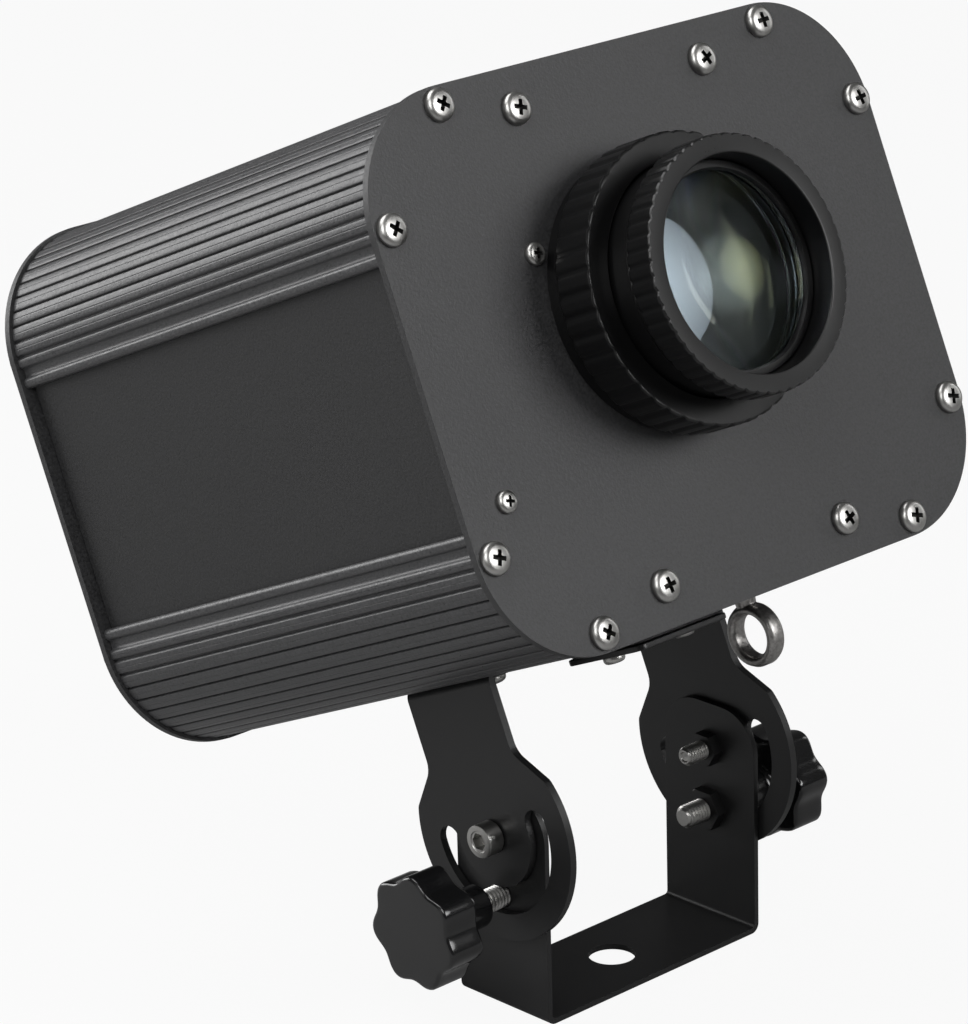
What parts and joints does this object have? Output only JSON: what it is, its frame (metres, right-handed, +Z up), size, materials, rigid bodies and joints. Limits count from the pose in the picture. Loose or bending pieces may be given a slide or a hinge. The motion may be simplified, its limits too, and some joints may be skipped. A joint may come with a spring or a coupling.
{
  "type": "color changer spotlight",
  "caption": "Small projector spotlight with a ribbed housing, a focusing lens and a motor-driven colour wheel, tilting on a slotted hanger and a steel yoke with clamp knobs.",
  "frame": {"origin": "centre of the bolt hole on the underside of the yoke's base", "axes": "+Z up, from the yoke's base to the lamp; the lamp looks along -Y and is tilted up by 23.5 degrees; +X is the right-hand side of someone facing its lens"},
  "size_m": [0.165, 0.2036, 0.2369],
  "materials": {
    "yoke": "satin black powder coat on steel sheet",
    "hanger": "satin black powder coat on steel sheet",
    "pivot_screws": "bright nickel-plated steel",
    "hanger_screws": "bright nickel-plated steel",
    "knobs": "glossy black plastic",
    "studs": "plated steel thread",
    "ribbed_shells": "satin dark grey coating on ribbed aluminium",
    "side_panels": "satin dark grey powder coat",
    "end_plates": "fine dark grey powder coat",
    "plate_screws": "bright nickel-plated steel",
    "service_cover": "satin dark grey powder coat",
    "service_gasket": "black rubber",
    "safety_eye": "cast steel, zinc plated",
    "gland": "black nylon",
    "lens_metal": "black anodised aluminium",
    "lens_glass": "coated glass",
    "gear_motor": "zinc-plated steel can",
    "pinion": "white nylon on a steel shaft",
    "colour_wheel": "bare sheet",
    "wheel_hub": "black nylon",
    "filter_red": "dichroic glass",
    "filter_amber": "dichroic glass",
    "filter_green": "dichroic glass",
    "filter_cyan": "dichroic glass",
    "filter_blue": "dichroic glass",
    "filter_magenta": "dichroic glass",
    "optics_frame": "matt black",
    "gate_ring": "black anodised",
    "condenser_holder": "black heat-resistant plastic",
    "led_board": "white solder mask, yellow emitter",
    "heat_sink": "natural extrusion",
    "driver_box": "grey plastic case",
    "control_board": "green laminate"
  },
  "bodies": {
    "yoke": {"yoke": "yoke", "left_pivot_screw": "pivot_screws", "right_pivot_screw": "pivot_screws"},
    "lock_ring": {"lock_ring": "lens_metal"},
    "lens_cell": {"front_lens": "lens_glass", "lens_retainer": "lens_metal", "rear_lens": "lens_glass"},
    "focus_barrel": {"focus_barrel": "lens_metal"},
    "colour_wheel": {"colour_wheel": "colour_wheel", "wheel_hub": "wheel_hub", "filter_red": "filter_red", "filter_amber": "filter_amber", "filter_green": "filter_green", "filter_cyan": "filter_cyan", "filter_blue": "filter_blue", "filter_magenta": "filter_magenta"},
    "pinion": {"motor_pinion": "pinion"},
    "left_stud": {"left_stud": "studs"},
    "left_knob": {"left_knob": "knobs"},
    "right_stud": {"right_stud": "studs"},
    "right_knob": {"right_knob": "knobs"},
    "head": {"hanger": "hanger", "left_hanger_screw": "hanger_screws", "right_hanger_screw": "hanger_screws", "top_shell": "ribbed_shells", "bottom_shell": "ribbed_shells", "left_panel": "side_panels", "right_panel": "side_panels", "front_plate": "end_plates", "rear_plate": "end_plates", "front_screw_01": "plate_screws", "front_screw_02": "plate_screws", "front_screw_03": "plate_screws", "front_screw_04": "plate_screws", "front_screw_05": "plate_screws", "front_screw_06": "plate_screws", "front_screw_07": "plate_screws", "front_screw_08": "plate_screws", "front_screw_09": "plate_screws", "front_screw_10": "plate_screws", "front_screw_11": "plate_screws", "front_screw_12": "plate_screws", "motor_screw_1": "plate_screws", "motor_screw_2": "plate_screws", "service_cover": "service_cover", "service_gasket": "service_gasket", "safety_eye": "safety_eye", "gland_body": "gland", "gland_cap": "gland", "lens_mount": "lens_metal", "condenser_lens": "lens_glass", "gear_motor": "gear_motor", "wheel_spindle": "wheel_hub", "optics_frame": "optics_frame", "gate_ring": "gate_ring", "condenser_holder": "condenser_holder", "led_board": "led_board", "heat_sink": "heat_sink", "driver_box": "driver_box", "control_board": "control_board"}
  },
  "joints": [
    {"name": "tilt", "type": "hinge", "parent": "yoke", "child": "head", "pos_m": [0, 0, 0.047], "axis": [1, 0, 0], "range_deg": [-66.5, 113.5]},
    {"name": "lock_ring_turn", "type": "hinge", "parent": "head", "child": "lock_ring", "pos_m": [-0.0062, -0.03333, 0.18602], "axis": [0, -0.9171, 0.3987], "range_deg": [0, 90]},
    {"name": "focus_travel", "type": "slide", "parent": "head", "child": "lens_cell", "axis": [0, -0.9171, 0.3987], "range_m": [-0.00401, 0.00401]},
    {"name": "focus_turn", "type": "hinge", "parent": "lens_cell", "child": "focus_barrel", "pos_m": [-0.0062, -0.03333, 0.18602], "axis": [0, -0.9171, 0.3987], "range_deg": [-240, 240]},
    {"name": "wheel_spin", "type": "hinge", "parent": "head", "child": "colour_wheel", "pos_m": [0.01, -0.00398, 0.15069], "axis": [0, -0.9171, 0.3987], "continuous": true},
    {"name": "pinion_spin", "type": "hinge", "parent": "head", "child": "pinion", "pos_m": [-0.04554, -0.00143, 0.15657], "axis": [0, -0.9171, 0.3987], "continuous": true},
    {"name": "left_clamp_travel", "type": "slide", "parent": "yoke", "child": "left_stud", "axis": [1, 0, 0], "range_m": [-0.00301, 0.00521]},
    {"name": "left_knob_turn", "type": "hinge", "parent": "left_stud", "child": "left_knob", "pos_m": [-0.06, 0, 0.0305], "axis": [1, 0, 0], "range_deg": [-1080, 1872]},
    {"name": "right_clamp_travel", "type": "slide", "parent": "yoke", "child": "right_stud", "axis": [1, 0, 0], "range_m": [-0.00291, 0.00501]},
    {"name": "right_knob_turn", "type": "hinge", "parent": "right_stud", "child": "right_knob", "pos_m": [0.06, 0, 0.0305], "axis": [1, 0, 0], "range_deg": [-1044, 1800]}
  ],
  "couplings": [
    {"joint": "focus_travel", "follows": "focus_turn", "m_per_rad": 0.00095493},
    {"joint": "pinion_spin", "follows": "wheel_spin", "ratio": -3},
    {"joint": "left_clamp_travel", "follows": "left_knob_turn", "m_per_rad": 0.00015915},
    {"joint": "right_clamp_travel", "follows": "right_knob_turn", "m_per_rad": 0.00015915}
  ]
}
